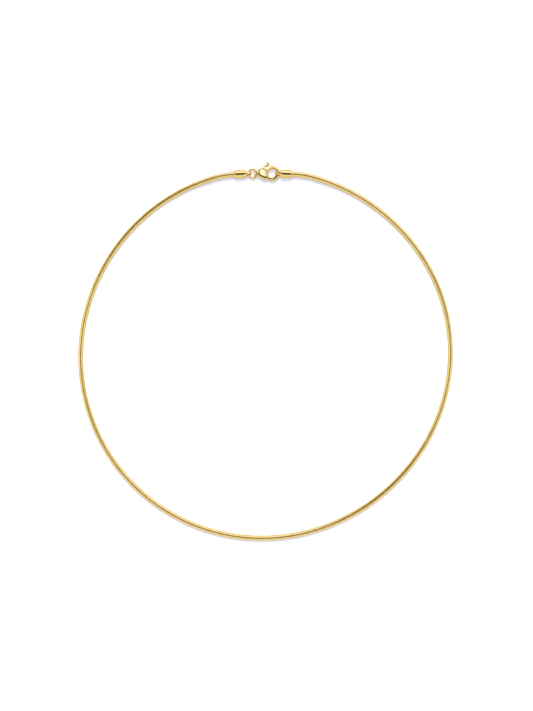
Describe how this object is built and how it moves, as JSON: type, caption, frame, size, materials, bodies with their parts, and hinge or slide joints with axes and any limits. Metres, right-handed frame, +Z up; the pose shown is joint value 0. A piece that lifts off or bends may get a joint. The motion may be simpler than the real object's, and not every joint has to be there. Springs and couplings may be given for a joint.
{
  "type": "omega necklace",
  "caption": "Thin round ribbed neck wire in gold, lying closed as a flat loop, with polished end caps, a jump ring and a lever-operated lobster clasp.",
  "frame": {"origin": "middle of the neck opening, on the surface that the necklace lies on", "axes": "+Z up from the surface, +Y towards the clasp, +X towards the cap that the hook holds"},
  "size_m": [0.1482, 0.1496, 0.0032],
  "materials": {
    "ribbed_gold": "fine-ribbed polished yellow gold",
    "polished_gold": "polished yellow gold",
    "clasp_gold": "polished cast yellow gold"
  },
  "bodies": {
    "necklace": {"omega_chain": "ribbed_gold", "end_cap_left": "polished_gold", "end_cap_right": "polished_gold", "jump_ring": "polished_gold", "clasp_body": "clasp_gold", "clasp_rivet": "clasp_gold"},
    "lever": {"clasp_lever": "clasp_gold"}
  },
  "joints": [
    {"name": "lever_hinge", "type": "hinge", "parent": "necklace", "child": "lever", "pos_m": [-0.00008, 0.07102, 0.00155], "axis": [0, 0, 1], "range_deg": [0, 24], "stiffness_Nm_per_rad": 0.002, "springref_deg": -17.19}
  ]
}
